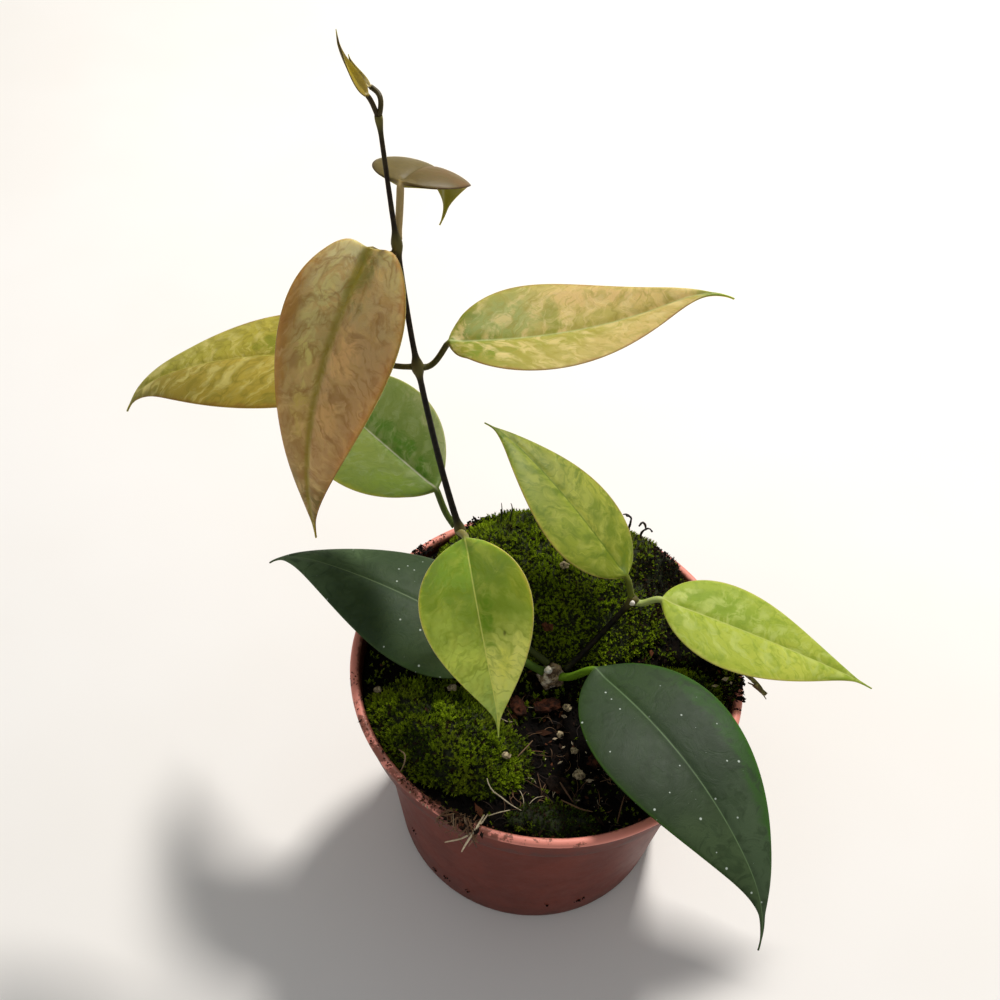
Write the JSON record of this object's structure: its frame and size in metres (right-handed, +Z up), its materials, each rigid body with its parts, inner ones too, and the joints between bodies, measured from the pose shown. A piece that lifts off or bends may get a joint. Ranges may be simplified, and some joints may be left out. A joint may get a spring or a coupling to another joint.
{
  "type": "potted hoya plant",
  "caption": "Young climbing plant with leathery long-pointed leaves on a thin dark stem, rooted in a small round plastic pot of mossy bark soil.",
  "frame": {"origin": "middle of the pot's underside, on the surface it stands on", "axes": "+Z up, -Y towards the viewer of the picture, +X to the viewer's right"},
  "size_m": [0.2245, 0.1636, 0.268],
  "materials": {
    "pot_plastic": "satin",
    "soil": "matte",
    "moss": "matte",
    "wood": "matte",
    "stem": "satin",
    "leaf_dark": "satin",
    "leaf_green": "satin",
    "leaf_light": "satin",
    "leaf_olive": "satin",
    "leaf_gold": "satin",
    "leaf_bronze": "satin",
    "bud": "satin",
    "grain": "matte",
    "root": "matte"
  },
  "bodies": {
    "root": {"bark_1": "wood", "bark_2": "wood", "bark_3": "wood", "bark_4": "wood", "bark_5": "wood", "bark_6": "wood", "crown": "wood", "crown_bud": "bud", "fibre_1": "root", "fibre_2": "root", "leaf_back_green": "leaf_green", "leaf_bronze": "leaf_bronze", "leaf_front_dark": "leaf_dark", "leaf_front_light": "leaf_light", "leaf_gold": "leaf_gold", "leaf_left_dark": "leaf_dark", "leaf_olive": "leaf_olive", "leaf_side_right": "leaf_light", "leaf_side_up": "leaf_light", "leaf_tip_long": "leaf_olive", "leaf_tip_small": "leaf_olive", "leaf_upper": "leaf_bronze", "moss_back": "moss", "moss_front": "moss", "moss_left": "moss", "moss_right": "moss", "moss_stalk_1": "moss", "moss_stalk_2": "moss", "perlite_1": "grain", "perlite_2": "grain", "perlite_3": "grain", "perlite_4": "grain", "perlite_5": "grain", "perlite_6": "grain", "perlite_7": "grain", "perlite_8": "grain", "pot": "pot_plastic", "rim_root_1": "root", "rim_root_2": "root", "rim_root_3": "root", "rim_twig": "root", "root_1": "root", "root_2": "root", "root_3": "root", "root_4": "root", "side_bud": "bud", "soil": "soil", "vine_main": "stem", "vine_side": "stem"}
  },
  "joints": []
}
